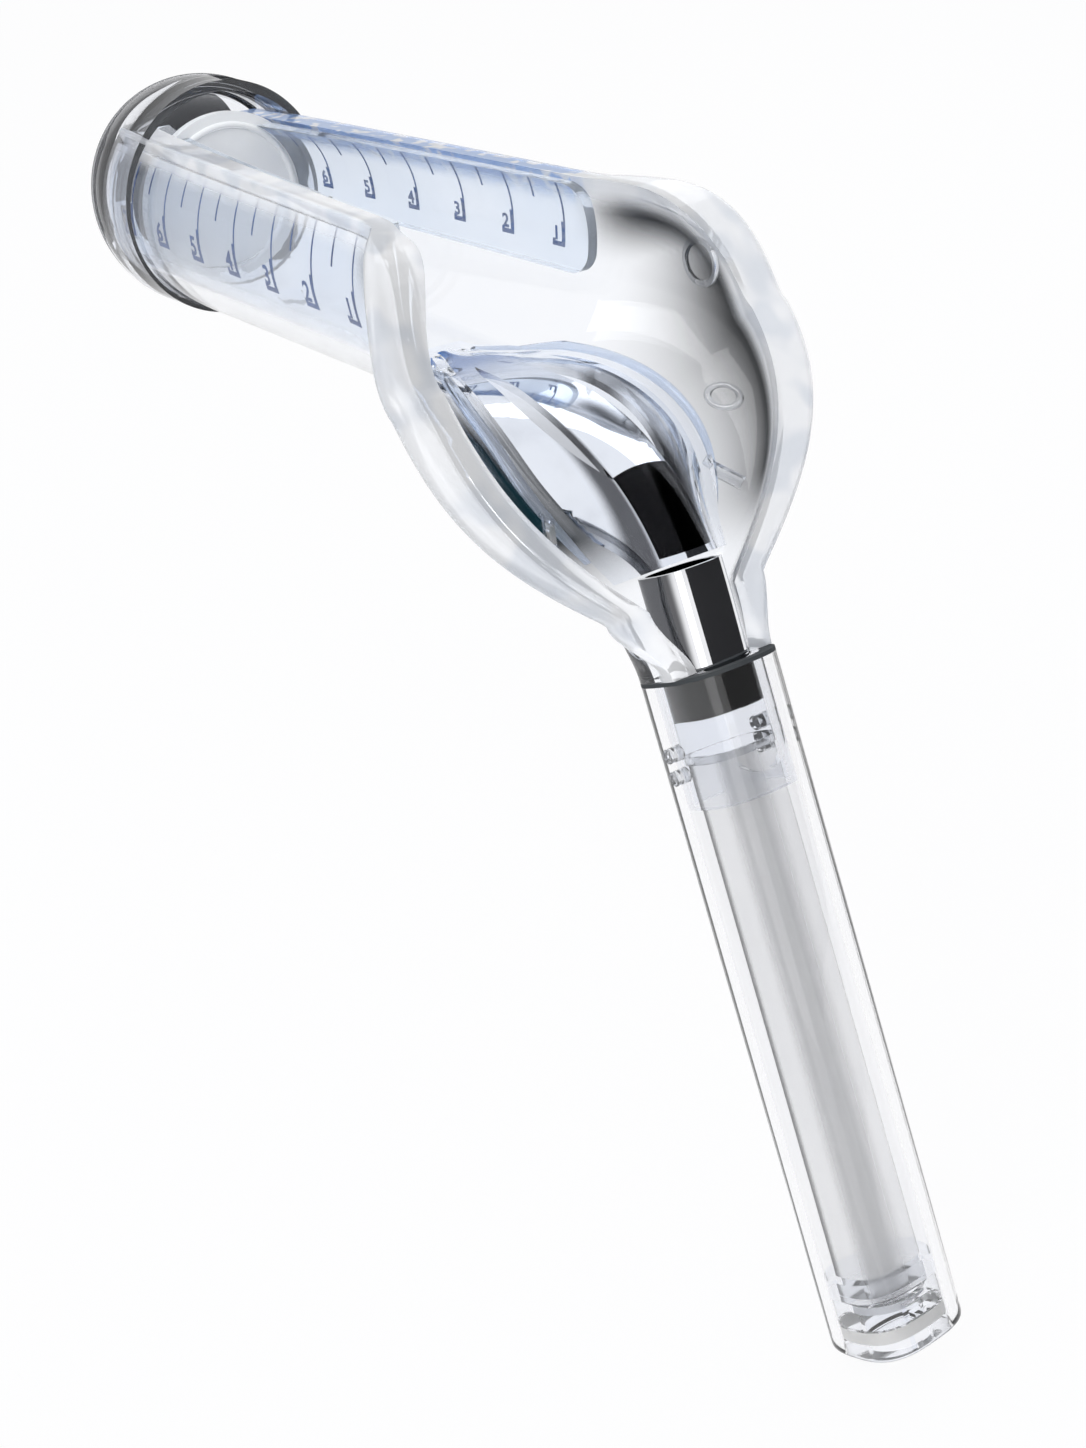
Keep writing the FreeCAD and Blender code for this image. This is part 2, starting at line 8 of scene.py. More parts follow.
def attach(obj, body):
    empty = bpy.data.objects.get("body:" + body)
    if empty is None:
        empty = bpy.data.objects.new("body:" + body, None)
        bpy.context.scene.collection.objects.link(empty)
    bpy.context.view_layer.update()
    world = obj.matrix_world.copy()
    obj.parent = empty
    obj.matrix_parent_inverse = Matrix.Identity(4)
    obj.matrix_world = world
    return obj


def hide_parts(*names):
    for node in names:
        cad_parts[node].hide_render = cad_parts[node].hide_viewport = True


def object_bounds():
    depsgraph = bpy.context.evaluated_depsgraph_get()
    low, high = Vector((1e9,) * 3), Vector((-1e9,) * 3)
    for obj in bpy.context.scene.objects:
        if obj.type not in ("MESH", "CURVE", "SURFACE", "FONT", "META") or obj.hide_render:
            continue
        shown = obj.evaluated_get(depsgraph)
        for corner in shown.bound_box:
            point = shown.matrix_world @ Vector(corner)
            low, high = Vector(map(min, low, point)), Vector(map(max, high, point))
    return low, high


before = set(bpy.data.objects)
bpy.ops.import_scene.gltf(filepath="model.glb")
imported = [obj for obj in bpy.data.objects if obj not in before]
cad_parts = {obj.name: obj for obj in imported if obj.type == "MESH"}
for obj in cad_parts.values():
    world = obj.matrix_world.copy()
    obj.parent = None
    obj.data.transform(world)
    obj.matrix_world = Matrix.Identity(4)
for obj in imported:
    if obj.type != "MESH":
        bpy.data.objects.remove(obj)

cad_box = [list(corner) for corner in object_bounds()]
MM = 0.001

# The trough's sizes in millimetres, as the solids have them
barrel_floor = -15.25
nose_x, bend_x, flare_lead = -92.0, -20.0, 6.0
nose_size, mouth_size = (14.9, 14.5), (18.2, 17.8)
window_height = 9.9
wall = 2.2
mouth_half_width, mouth_depth, mouth_turn = 24.8, 15.9, 25.4
flare_start, flare_tail, throat_rim = 0.1, 0.94, 7.7
lip_full, lip_end = (2.7, 3.0, 1.7), (0.05, 1.6, 0.12)
throat_share = 0.55
lean_turn = 23.5
lean = math.radians(lean_turn)
grip_axis = Vector((math.sin(lean), 0, -math.cos(lean)))
grip_front = Vector((math.cos(lean), 0, math.sin(lean)))
collar = grip_axis * 40.9
grip_size, grip_power, neck_wall = (7.55, 6.85), 2.85, 2.65
grip_length, grip_wall = 84.65, 1.5
collar_rim = 9.9
neck_back = collar - grip_front * grip_size[1]
bend_radius = (neck_back - Vector((bend_x, 0, barrel_floor))).dot(grip_front) / (1 - grip_front.z)
bend_centre = Vector((bend_x, 0, barrel_floor - bend_radius))
neck_straight = (neck_back - bend_centre).dot(grip_axis)
bend_turn = 90.0 - lean_turn
flare_growth, drop_start, drop_power = 0.85, 0.25, 1.25
lip_growth, tail_power, squaring = 1.8, 1.1, 0.8

# Places round a section, from 0 to 1: outer wall, far lip, inner wall, then the near lip
outer_end, far_lip_end, inner_end = 0.4, 0.5, 0.9
# Places along a lip's outline, from 0 to 1: foot, bead, then the flat to the inner wall
foot_end, bead_end = 0.2, 0.8


# Shader maths and materials


class Socket:
    """A shader socket that adds its own Math nodes when it is used in an expression."""

    def __init__(self, shader, link):
        self.shader = shader
        self.link = link

    def math(self, operation, *others):
        values = dict(enumerate((self,) + others))
        return self.shader.node("Math", {"operation": operation}, values)

    def __add__(self, other):
        return self.math("ADD", other)

    __radd__ = __add__

    def __sub__(self, other):
        return self.math("SUBTRACT", other)

    def __rsub__(self, other):
        return self.shader.node("Math", {"operation": "SUBTRACT"}, {0: other, 1: self})

    def __mul__(self, other):
        return self.math("MULTIPLY", other)

    __rmul__ = __mul__

    def __gt__(self, other):
        return self.math("GREATER_THAN", other)

    def __lt__(self, other):
        return self.math("LESS_THAN", other)

    def soft_step(self, low, high):
        """0 below low, 1 above high, smooth between them."""
        return self.shader.node("MapRange", {"interpolation_type": "SMOOTHSTEP"},
                                {"Value": self, "From Min": low, "From Max": high})


class Shader:
    """The node tree of a material or of the world, and the nodes that are added to it."""

    def __init__(self, name, kind="Material"):
        owners = bpy.data.worlds if kind == "World" else bpy.data.materials
        self.owner = owners.new(name)
        self.owner.use_nodes = True
        self.tree = self.owner.node_tree
        self.tree.nodes.clear()
        self.output = self.tree.nodes.new("ShaderNodeOutput" + kind)

    def node(self, kind, settings=None, inputs=None, output=0):
        made = self.tree.nodes.new("ShaderNode" + kind)
        for key, value in (settings or {}).items():
            setattr(made, key, value)
        for key, value in (inputs or {}).items():
            if isinstance(value, Socket):
                self.tree.links.new(value.link, made.inputs[key])
            else:
                made.inputs[key].default_value = value
        return Socket(self, made.outputs[output])

    def surface(self, shader):
        self.tree.links.new(shader.link, self.output.inputs["Surface"])
        return self.owner

    def ray_is(self, *kinds):
        """1 where the ray is of one of the kinds, and else 0."""
        found = [self.node("LightPath", None, None, "Is %s Ray" % kind) for kind in kinds]
        share = found[0]
        for other in found[1:]:
            share = share.math("MAXIMUM", other)
        return share

    def place(self):
        return self.node("TexCoord", output="Object")

    def axes(self):
        split = {"Vector": self.place()}
        return [self.node("SeparateXYZ", None, split, axis) for axis in ("X", "Y", "Z")]

    def noise(self, scale, detail):
        return self.node("TexNoise", None, {"Vector": self.place(), "Scale": scale,
                                            "Detail": detail}, "Fac")

    def blend(self, share, first, second):
        """Colour between first and second by a share."""
        return self.node("Mix", {"data_type": "RGBA"}, {"Factor": share, "A": first, "B": second},
                         "Result")

    def attribute(self, name):
        return self.node("Attribute", {"attribute_name": name}, None, "Fac")

    def mixed(self, share, first, second):
        return self.node("MixShader", None, {0: share, 1: first, 2: second})

    def bump(self, height, strength, distance):
        return self.node("Bump", None, {"Height": height, "Strength": strength,
                                        "Distance": distance})

    def principled(self, **inputs):
        named = {key.replace("_", " "): value for key, value in inputs.items()}
        return self.node("BsdfPrincipled", None, named)


def rgb(red, green, blue):
    return (red, green, blue, 1.0)


def clear_plastic(name, tint, depth_tint, index, milk, ripple=0.08, roughness=0.02):
    """Polished clear moulding: a share of milky scatter, slight flow ripples and faint dust."""
    shader = Shader(name)
    flow = shader.noise(60.0, 2.0)
    dust = shader.noise(900.0, 4.0)
    colour = shader.blend(flow, tint, depth_tint)
    rough = dust.soft_step(0.62, 0.8) * 0.05 + roughness
    height = shader.bump(flow, ripple, 0.0006)
    clear = shader.principled(Base_Color=colour, Roughness=rough, Normal=height, IOR=index,
                              Transmission_Weight=1.0)
    pale = shader.principled(Base_Color=colour, Roughness=rough + 0.08, Normal=height)
    return shader.surface(shader.mixed((flow * 0.5 + 0.75) * milk, clear, pale))


def moulded_shell():
    """The trough's plastic: clear walls with painted dark reflection that darkens them towards
    the rim, painted blue glints on the far lip, and a pale thick lip.
    """
    shader = Shader("moulded_shell")
    pale, painted_dark_reflection = shader.attribute("pale"), shader.attribute("painted_dark_reflection")
    along, side, _ = shader.axes()
    flow = shader.noise(60.0, 2.0)
    dust = shader.noise(900.0, 4.0)
    streak = shader.noise(150.0, 1.0).soft_step(0.45, 0.6)
    rough = dust.soft_step(0.62, 0.8) * 0.05 + 0.02
    height = shader.bump(flow + streak * pale * 0.12, 0.06, 0.0006)
    wall = shader.blend(flow, rgb(0.97, 0.98, 1.0), rgb(0.93, 0.95, 0.99))
    # Painted dark reflection: the wall's colour goes towards black where the second mark stored
    # by trough_marks is high.
    wall = shader.blend(painted_dark_reflection, wall, rgb(0.0, 0.001, 0.002))
    # Painted highlight: bluish glints in streaks on the far side's lip along the barrel, painted
    # into the wall's and the lip's colour.
    blue = (along < -0.024) * (side > 0.0) * shader.noise(420.0, 1.0).soft_step(0.36, 0.5)
    wall = shader.blend(blue * pale * 0.8, wall, rgb(0.45, 0.65, 0.98))
    clear = shader.principled(Base_Color=wall, Roughness=rough, Normal=height, IOR=1.3,
                              Transmission_Weight=1.0)
    lip = shader.blend(streak * 0.8, rgb(0.97, 0.98, 1.0), rgb(0.74, 0.78, 0.85))
    lip = shader.blend(blue * 0.85, lip, rgb(0.25, 0.45, 0.88))
    milk = shader.principled(Base_Color=lip, Roughness=rough + 0.06, Normal=height)
    return shader.surface(shader.mixed(pale * 0.56 + 0.008, clear, milk))


def domed_nose():
    """Clear nose that is a little smoky, with a paler ring where it grips the barrel."""
    ring_front, ring_back = -0.0885, -0.0855
    shader = Shader("clear_nose")
    flow = shader.noise(60.0, 2.0)
    dust = shader.noise(900.0, 4.0)
    ring = shader.axes()[0].soft_step(ring_front, ring_back)
    colour = shader.blend(flow, rgb(0.93, 0.94, 0.97), rgb(0.86, 0.88, 0.92))
    height = shader.bump(flow, 0.05, 0.0006)
    rough = dust.soft_step(0.62, 0.8) * 0.05 + 0.015
    clear = shader.principled(Base_Color=colour, Roughness=rough, Normal=height, IOR=1.3,
                              Transmission_Weight=1.0)
    pale = shader.principled(Base_Color=rgb(0.9, 0.92, 0.96), Roughness=rough + 0.08,
                             Normal=height)
    return shader.surface(shader.mixed(ring * 0.05 + 0.01, clear, pale))


def bright_metal(name, colour, roughness, brushed):
    """Mirror-bright plating with faint wear."""
    shader = Shader(name)
    wear = shader.noise(140.0, 5.0)
    fine = shader.noise(1800.0, 2.0)
    tone = shader.blend(wear.soft_step(0.4, 0.8) * 0.6, colour, rgb(0.62, 0.63, 0.65))
    rough = wear.soft_step(0.45, 0.8) * 0.05 + roughness
    return shader.surface(shader.principled(
        Base_Color=tone, Roughness=rough, Normal=shader.bump(fine, brushed, 0.00005),
        Metallic=1.0))


def chrome_with_painted_reflections():
    """Chrome with painted dark reflections: a black patch on the middle rib, dark bands beside
    it, a black skirt and a navy blue tip.

    The places are in metres, along the barrel, across it and down the grip's axis.
    """
    shader = Shader("chrome_with_painted_reflections")
    wear = shader.noise(140.0, 5.0)
    along, side, up = shader.axes()
    reach = side.math("ABSOLUTE")
    tone = shader.blend(wear.soft_step(0.4, 0.8) * 0.5, rgb(0.88, 0.89, 0.91),
                        rgb(0.66, 0.67, 0.7))
    # Painted dark reflections: bands along both flanks beside the middle rib, and patches on the
    # far flank.
    edge = reach.soft_step(0.0037, 0.0043) * (1.0 - reach.soft_step(0.0054, 0.0068))
    edge = edge * along.soft_step(-0.02, -0.002)
    far = (side > 0.0041) * along.soft_step(-0.015, -0.011)
    far = far * ((1.0 - along.soft_step(-0.009, -0.003)) + along.soft_step(-0.001, 0.006))
    shade = edge.math("MAXIMUM", far) * 0.88
    tone = shader.blend(shade, tone, rgb(0.03, 0.03, 0.035))
    # Painted reflection: the tip's colour goes to navy blue.
    tip = 1.0 - along.soft_step(-0.031, -0.016)
    tone = shader.blend(tip, tone, rgb(0.05, 0.16, 0.42))
    # Painted dark reflections: a black patch down the middle rib and a black skirt down the grip.
    rib_half_width, rib_reflection_start, rib_reflection_end, skirt_start = 0.0039, 0.0048, 0.0275, 0.0412
    down = along * grip_axis.x + up * grip_axis.z
    rib_painted_reflection = (reach < rib_half_width) * (along > rib_reflection_start) * (down < rib_reflection_end)
    dark = rib_painted_reflection.math("MAXIMUM", down > skirt_start)
    tone = shader.blend(dark, tone, rgb(0.008, 0.008, 0.009))
    rough = wear.soft_step(0.45, 0.8) * 0.05 + 0.03
    return shader.surface(shader.principled(Base_Color=tone, Roughness=rough, Metallic=1.0,
                                            Normal=shader.bump(wear, 0.02, 0.0002)))


def light_guide():
    """Clear guide with a cloudy core and a painted dark reflection down its near edge."""
    shader = Shader("light_guide")
    along, side, up = shader.axes()
    # Place across the guide, in metres, from its near back corner to its far front corner
    side_share, front_share = 0.802, 0.548
    front = along * grip_front.x + up * grip_front.z
    across = side * side_share + front * front_share
    cloud = shader.noise(90.0, 3.0)
    grain = shader.noise(2200.0, 3.0)
    core = across.soft_step(-0.0026, -0.0008) * (1.0 - across.soft_step(0.0, 0.0036))
    # Painted dark reflection: a dark line down the guide's near edge, in its colour and a larger
    # milky share.
    line = 1.0 - across.soft_step(-0.0046, -0.0041)
    tone = shader.blend(cloud.soft_step(0.3, 0.75), rgb(0.93, 0.933, 0.94),
                        rgb(0.97, 0.972, 0.975))
    tone = shader.blend(core * 0.6, tone, rgb(0.5, 0.505, 0.52))
    tone = shader.blend(line, tone, rgb(0.03, 0.03, 0.035))
    rough = grain * 0.08 + 0.1
    clear = shader.principled(Base_Color=tone, Roughness=rough, IOR=1.05, Transmission_Weight=1.0)
    milk = shader.principled(Base_Color=tone, Roughness=rough + 0.2,
                             Normal=shader.bump(grain, 0.1, 0.00005))
    return shader.surface(shader.mixed(core * 0.45 + line * 0.6 + 0.12, clear, milk))


def satin_plastic(name, colour, other, roughness):
    """Moulded plastic with a fine grain."""
    shader = Shader(name)
    grain = shader.noise(2200.0, 3.0)
    cloud = shader.noise(90.0, 3.0)
    tone = shader.blend(cloud.soft_step(0.3, 0.75), colour, other)
    rough = grain * 0.08 + roughness
    return shader.surface(shader.principled(
        Base_Color=tone, Roughness=rough, Normal=shader.bump(grain, 0.15, 0.00005), IOR=1.2))


clear_shell = moulded_shell()
clear_grip = clear_plastic("clear_grip", rgb(0.985, 0.985, 0.99), rgb(0.96, 0.965, 0.98),
                           1.42, 0.012, 0.005)
clear_nose = domed_nose()
clear_fitting = clear_plastic("clear_fitting", rgb(0.96, 0.97, 1.0), rgb(0.95, 0.965, 0.985),
                              1.08, 0.005)
clear_boss = clear_plastic("clear_boss", rgb(0.93, 0.94, 0.96), rgb(0.85, 0.87, 0.9),
                           1.46, 0.08)
clear_cover = clear_plastic("clear_cover", rgb(0.97, 0.98, 1.0), rgb(0.92, 0.95, 1.0),
                            1.08, 0.0, 0.02)
clear_bead = clear_plastic("clear_bead", rgb(0.86, 0.91, 1.0), rgb(0.7, 0.8, 0.97), 1.36, 0.2)
clear_scale = clear_plastic("clear_scale", rgb(0.93, 0.96, 1.0), rgb(0.84, 0.91, 1.0), 1.12, 0.14)
chrome = chrome_with_painted_reflections()
bright_wire = bright_metal("bright_wire", rgb(0.8, 0.81, 0.83), 0.12, 0.1)
smoked_disc = satin_plastic("smoked_disc", rgb(0.84, 0.86, 0.89), rgb(0.9, 0.92, 0.94), 0.2)
pale_guide = light_guide()
white_band = satin_plastic("white_band", rgb(0.86, 0.86, 0.85), rgb(0.8, 0.8, 0.79), 0.4)
dark_seal = satin_plastic("dark_seal", rgb(0.03, 0.035, 0.04), rgb(0.06, 0.065, 0.07), 0.55)
navy_ink = satin_plastic("navy_ink", rgb(0.008, 0.06, 0.24), rgb(0.015, 0.1, 0.34), 0.5)
pale_seal = satin_plastic("pale_seal", rgb(0.8, 0.81, 0.82), rgb(0.87, 0.88, 0.89), 0.5)


# Shapes


def power(value, exponent):
    return math.copysign(abs(value) ** exponent, value)


class Station:
    """Cross-section of the trough: a floor point, an up direction and its sizes."""

    def __init__(self, floor, up, size, rim, squareness, wall, swell):
        self.floor = floor
        self.up = up
        self.half_width, self.depth = size
        self.rim = rim
        self.squareness = squareness
        self.wall = wall
        self.reach, self.height, self.round = (
            end + swell * (full - end) for full, end in zip(lip_full, lip_end))

    def point(self, side, height):
        return self.floor + Vector((0, side, 0)) + self.up * height

    def side_at(self, height, inset=0.0):
        lift = abs(height - self.depth) / (self.depth - inset)
        share = max(1.0 - lift ** self.squareness, 0.0)
        return (self.half_width - inset) * share ** (1.0 / self.squareness)

    def floor_height(self, side, inset):
        share = 1.0 - (abs(side) / (self.half_width - inset)) ** self.squareness
        return self.depth - (self.depth - inset) * share ** (1.0 / self.squareness)

    def arc_point(self, share, inset, top):
        """Point of the wall's curve, from the near top, at 0, under the floor to the far top."""
        wide = self.half_width - inset
        deep = self.depth - inset
        start = math.acos(power((top - self.depth) / deep, self.squareness / 2))
        angle = start + (2 * math.pi - 2 * start) * share
        return (-wide * power(math.sin(angle), 2 / self.squareness),
                self.depth + deep * power(math.cos(angle), 2 / self.squareness))

    def lip_point(self, share):
        """Far side's lip, from its foot, at 0, round its bead to the inner rim, at 1."""
        low = self.rim - self.height
        middle = self.rim - self.height / 2
        base = self.side_at(middle) + self.reach
        if share < foot_end:
            foot = self.side_at(low)
            return foot + share / foot_end * (base - foot), low
        if share < bead_end:
            angle = math.pi * ((share - foot_end) / (bead_end - foot_end) - 0.5)
            return base + self.round * math.cos(angle), middle + self.height / 2 * math.sin(angle)
        inner = self.side_at(self.rim, self.wall)
        return base + (share - bead_end) / (1 - bead_end) * (inner - base), self.rim

    def ring_point(self, share):
        """Point round the whole closed section; share runs from 0 to 1."""
        if share < outer_end:
            return self.arc_point(share / outer_end, 0.0, self.rim - self.height)
        if share < far_lip_end:
            return self.lip_point((share - outer_end) / (far_lip_end - outer_end))
        if share < inner_end:
            along = (share - far_lip_end) / (inner_end - far_lip_end)
            return self.arc_point(1 - along, self.wall, self.rim)
        side, height = self.lip_point(1 - (share - inner_end) / (1 - inner_end))
        return -side, height


def barrel_station(x):
    share = (x - nose_x) / (bend_x - nose_x)
    wide = nose_size[0] + share * (mouth_size[0] - nose_size[0])
    deep = nose_size[1] + share * (mouth_size[1] - nose_size[1])
    flare = flare_start * max(1 - (bend_x - x) / flare_lead, 0.0) ** 2
    wide += flare * (mouth_half_width - mouth_size[0])
    return Station(Vector((x, 0, barrel_floor)), Vector((0, 0, 1)), (wide, deep),
                   window_height - barrel_floor, 2.0, wall, 0.0)


def bend_station(turn, size, rim, squareness, thick, swell):
    angle = math.radians(turn)
    up = Vector((math.sin(angle), 0, math.cos(angle)))
    return Station(bend_centre + up * bend_radius, up, size, rim, squareness, thick, swell)


def bell_station(turn):
    if turn < mouth_turn:
        share = turn / mouth_turn
        flare = flare_start + (1 - flare_start) * math.sin(math.pi / 2 * share ** flare_growth)
        ease = max((share - drop_start) / (1 - drop_start), 0.0) ** drop_power
        drop = ease * ease * (3 - 2 * ease)
        rim = window_height - barrel_floor
        size = (mouth_size[0] + flare * (mouth_half_width - mouth_size[0]),
                mouth_size[1] + share * (mouth_depth - mouth_size[1]))
        swell = math.sin(math.pi / 2 * min(share * lip_growth, 1.0))
        return bend_station(turn, size, rim + drop * (mouth_depth - rim), 2.0, wall, swell)
    share = (turn - mouth_turn) / (bend_turn - mouth_turn)
    flare = math.cos(math.pi / 2 * flare_tail * share ** tail_power)
    close = math.sin(math.pi / 2 * share)
    size = (grip_size[0] + flare * (mouth_half_width - grip_size[0]),
            mouth_depth + close * (grip_size[1] - mouth_depth))
    rim = mouth_depth + close * (throat_rim - mouth_depth)
    squareness = 2.0 + (grip_power - 2.0) * share ** 2 * squaring
    swell = 1.0 - (1.0 - throat_share) * share ** 2
    return bend_station(turn, size, rim, squareness, wall + share * (neck_wall - wall), swell)


def neck_station(share):
    last = bell_station(bend_turn)
    ease = share * share * (3 - 2 * share)
    wide = last.half_width + ease * (grip_size[0] - last.half_width)
    rim = last.rim + ease * (collar_rim - last.rim)
    squareness = last.squareness + share * (grip_power - last.squareness)
    floor = neck_back - grip_axis * neck_straight * (1 - share)
    swell = throat_share * (1.0 - ease)
    return Station(floor, grip_front, (wide, grip_size[1]), rim, squareness, neck_wall, swell)


bend_middle = 8.0
barrel_length = bend_x - nose_x
bend_length = math.radians(bend_turn) * (bend_radius + bend_middle)


def trough_station(along):
    """Station at a distance from the nose end, along the barrel, the bend and the neck."""
    if along < barrel_length:
        return barrel_station(nose_x + along)
    along -= barrel_length
    if along < bend_length:
        return bell_station(bend_turn * along / bend_length)
    return neck_station(min((along - bend_length) / neck_straight, 1.0))


def mapped_grid(columns, rows, place):
    """Grid whose corners go where place puts them; columns and rows run from 0 to 1."""
    mesh = bmesh.new()
    bmesh.ops.create_grid(mesh, x_segments=columns, y_segments=rows, size=0.5)
    for vert in mesh.verts:
        vert.co = place(vert.co.x + 0.5, vert.co.y + 0.5) * MM
    return mesh


def closed(mesh):
    """Merges the seam, fills open ends and turns the faces outwards."""
    bmesh.ops.remove_doubles(mesh, verts=mesh.verts, dist=1e-6)
    bmesh.ops.dissolve_degenerate(mesh, edges=mesh.edges, dist=1e-7)
    bmesh.ops.holes_fill(mesh, edges=[edge for edge in mesh.edges if edge.is_boundary], sides=0)
    bmesh.ops.recalc_face_normals(mesh, faces=mesh.faces)
    return mesh


def piece(name, mesh, material, body, replaced=(), sharp=35.0):
    """Finishes a bmesh as a named object that rides on a body."""
    for edge in mesh.edges:
        edge.smooth = edge.calc_face_angle(0.0) < math.radians(sharp)
    for face in mesh.faces:
        face.smooth = True
    data = bpy.data.meshes.new(name)
    mesh.to_mesh(data)
    mesh.free()
    data.materials.append(material)
    made = bpy.data.objects.new(name, data)
    bpy.context.scene.collection.objects.link(made)
    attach(made, body)
    if replaced:
        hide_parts(*replaced)


def cad_copy(node):
    """Merged copy of a solid's mesh."""
    mesh = bmesh.new()
    mesh.from_mesh(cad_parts[node].data)
    bmesh.ops.remove_doubles(mesh, verts=mesh.verts, dist=2e-6)
    return mesh


def on_grip(down, side, front):
    return collar + grip_axis * down + Vector((0, side, 0)) + grip_front * front


def grip_point(turn, down, inset):
    """Point round the grip's outline at a turn from 0 to 1, inset from the outside."""
    angle = 2 * math.pi * turn
    side = (grip_size[0] - inset) * power(math.cos(angle), 2 / grip_power)
    front = (grip_size[1] - inset) * power(math.sin(angle), 2 / grip_power)
    return on_grip(down, side, front)


def grip_sleeve(profile, around=96):
    """Closed body round the grip's axis from a profile of (distance down, inset) corners."""
    rows = len(profile) - 1

    def place(turn, share):
        down, inset = profile[round(share * rows)]
        return grip_point(turn, down, inset)

    return closed(mapped_grid(around, rows, place))


def rounded_foot(bottom, outer, radius, steps=5):
    """Profile corners that round a sleeve's lower outer edge."""
    corners = []
    for i in range(steps + 1):
        angle = math.pi / 2 * i / steps
        corners.append((bottom - radius + radius * math.sin(angle),
                        outer + radius - radius * math.cos(angle)))
    return corners


trough_length = barrel_length + bend_length + neck_straight


def trough_point(along, around):
    station = trough_station(along * trough_length)
    return station.point(*station.ring_point(around % 1.0))


def rise(value, low, high):
    """0 below low, 1 above high, smooth between them."""
    share = min(max((value - low) / (high - low), 0.0), 1.0)
    return share * share * (3 - 2 * share)


def trough_marks(along, around):
    """How pale the plastic is, and how much painted dark reflection darkens it, at a place of the
    trough.
    """
    place, around = along * trough_length, around % 1.0
    lip = rise(around, 0.385, 0.41) * rise(-around, -0.53, -0.505)
    lip += rise(around, 0.885, 0.9) + rise(-around, -0.015, 0.0)
    turn = bend_turn * (place - barrel_length) / bend_length
    station = trough_station(place)
    side, height = station.ring_point(around)
    height /= station.rim
    # Painted dark reflection on the bell's walls and on the shoulder, rising with height; the lip
    # is kept clear of it.
    bell = rise(turn, 0.0, 18.0) * rise(-turn, -64.0, -48.0)
    shade = bell * (rise(height, 0.0, 0.86) if side > 0 else rise(height, -0.1, 0.35))
    shoulder = rise(turn, -10.0, 4.0) * rise(-turn, -34.0, -16.0)
    shade = max(shade, shoulder * rise(height, 0.55, 0.85))
    return min(lip, 1.0), shade * (1 - min(lip, 1.0))


def paint(mesh, columns, rows, marks):
    """Stores a grid's marks on its corners before its seam is merged."""
    layers = [mesh.verts.layers.float.new(name) for name in ("pale", "painted_dark_reflection")]
    for index, vert in enumerate(mesh.verts):
        column, row = index % (columns + 1), index // (columns + 1)
        for layer, value in zip(layers, marks(column / columns, row / rows)):
            vert[layer] = value
    return mesh


shell_columns, shell_rows = 170, 200
shell = mapped_grid(shell_columns, shell_rows, trough_point)
shell = closed(paint(shell, shell_columns, shell_rows, trough_marks))
piece("speculum_shell", shell, clear_shell, "speculum", ["speculum_body"], 50.0)

spigot = cad_copy("speculum_body")
cut = bmesh.ops.bisect_plane(spigot, geom=spigot.verts[:] + spigot.edges[:] + spigot.faces[:],
                             dist=1e-7, plane_co=(collar + grip_axis * 0.05) * MM,
                             plane_no=grip_axis, clear_inner=True)
piece("neck_spigot", closed(spigot), clear_fitting, "speculum")

seam_height, foot_radius = 0.5, 1.1
tube_profile = ([(seam_height, 0.0), (grip_length - foot_radius, 0.0)]
                + rounded_foot(grip_length, 0.0, foot_radius)
                + [(grip_length, grip_wall), (seam_height, grip_wall), (seam_height, 0.0)])
piece("grip_tube", grip_sleeve(tube_profile), clear_grip, "speculum", ["handle_tube"])


def refined(name, node, material, body, sharp=32.0):
    """Smoothly shaded copy of a solid, with its true edges kept crisp."""
    piece(name, cad_copy(node), material, body, [node], sharp)


refined("nose_dome", "nose_bulb", clear_nose, "speculum")
refined("scale_arms", "graduated_slide", clear_scale, "scale_slide")
refined("smoked_end_disc", "end_disc", smoked_disc, "scale_slide")
refined("disc_wire", "disc_ring", smoked_disc, "scale_slide", 60.0)
refined("chrome_leaf", "reflector_blade", chrome, "speculum", 40.0)
refined("chrome_tube", "reflector_shank", chrome, "speculum", 40.0)
refined("leaf_cover", "reflector_cover", clear_cover, "speculum")
refined("guide_column", "light_guide_rod", pale_guide, "speculum", 40.0)
refined("guide_sleeve", "guide_ferrule", clear_boss, "speculum", 40.0)
refined("guide_prism", "guide_lens", clear_fitting, "speculum", 40.0)
refined("socket_block", "socket_insert", clear_fitting, "light_insert")
refined("white_ledge", "insert_band", white_band, "light_insert", 40.0)
refined("seam_ring", "collar_seal", dark_seal, "speculum", 40.0)


disc_rim_x, disc_rim_inset, disc_rim_radius, disc_rim_proud = -83.8, 4.6, 0.28, 0.05


def disc_rim_point(turn, around):
    """Point of the bright bead that runs round the disc's edge."""
    station = barrel_station(disc_rim_x)
    turn, around = 2 * math.pi * turn, 2 * math.pi * around
    out = disc_rim_inset - disc_rim_radius * math.cos(around)
    side = (station.half_width - out) * math.cos(turn)
    height = station.depth + (station.depth - out) * math.sin(turn)
    forward = disc_rim_proud + disc_rim_radius * math.sin(around)
    return station.point(side, height) + Vector((forward, 0, 0))


piece("disc_rim", closed(mapped_grid(120, 10, disc_rim_point)), bright_wire, "scale_slide",
      sharp=60.0)


# Graduations, numbers and brackets on the two arms

arm_inset, mark_proud = 2.5, 0.05
first_mark, mark_step, mark_count = -86.2, 10.0, 7
mark_lean = 0.8


def arm_place(x, z, side, proud):
    """Point on an arm's outer surface, in millimetres."""
    station = barrel_station(x)
    return Vector((x, side * station.side_at(z - barrel_floor, arm_inset - proud), z))


def laid_on_arm(mesh, side):
    """Wraps a flat mark, drawn with x along and y up, round the arm."""
    for vert in mesh.verts:
        x, z, out = vert.co
        vert.co = arm_place(x, z, side, mark_proud * out) * MM
    return mesh


